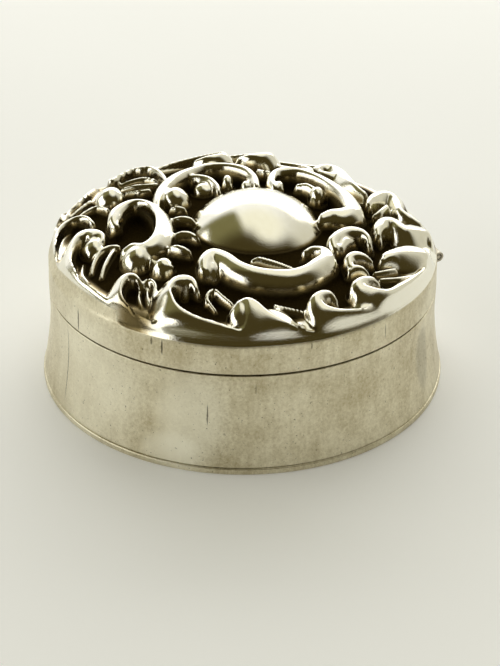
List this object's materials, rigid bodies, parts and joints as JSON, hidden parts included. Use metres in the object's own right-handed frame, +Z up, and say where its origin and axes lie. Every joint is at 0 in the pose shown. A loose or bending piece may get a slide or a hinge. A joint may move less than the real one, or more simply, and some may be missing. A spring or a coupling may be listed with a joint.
{
  "type": "trinket box",
  "caption": "Small round silver trinket box with a waisted plain body and a hinged domed cover raised in rococo C-scrolls and breaking waves.",
  "frame": {"origin": "centre of the box's underside, on the surface it stands on", "axes": "+Z up; +Y towards the hinge; -Y towards the side that opens; +X to the right as seen from the opening side"},
  "size_m": [0.05, 0.05, 0.0228],
  "materials": {
    "plain_silver": "worn satin silver with fine scratches, dark nicks and pits",
    "raised_silver": "polished crests with dark tarnish in the hollows",
    "lining_silver": "soft matt silver, lightly scratched",
    "hinge_silver": "dull worn silver, dark between the knuckles"
  },
  "bodies": {
    "box": {"base_plate": "plain_silver", "body_wall": "plain_silver", "inner_bezel": "lining_silver", "body_knuckle_1": "hinge_silver", "body_knuckle_2": "hinge_silver", "body_knuckle_3": "hinge_silver", "hinge_pin": "hinge_silver"},
    "lid": {"lid_top": "raised_silver", "lid_band": "plain_silver", "lid_knuckle_1": "hinge_silver", "lid_knuckle_2": "hinge_silver"}
  },
  "joints": [
    {"name": "lid_hinge", "type": "hinge", "parent": "box", "child": "lid", "pos_m": [0, 0.02435, 0.0123], "axis": [-1, 0, 0], "range_deg": [0, 105]}
  ]
}
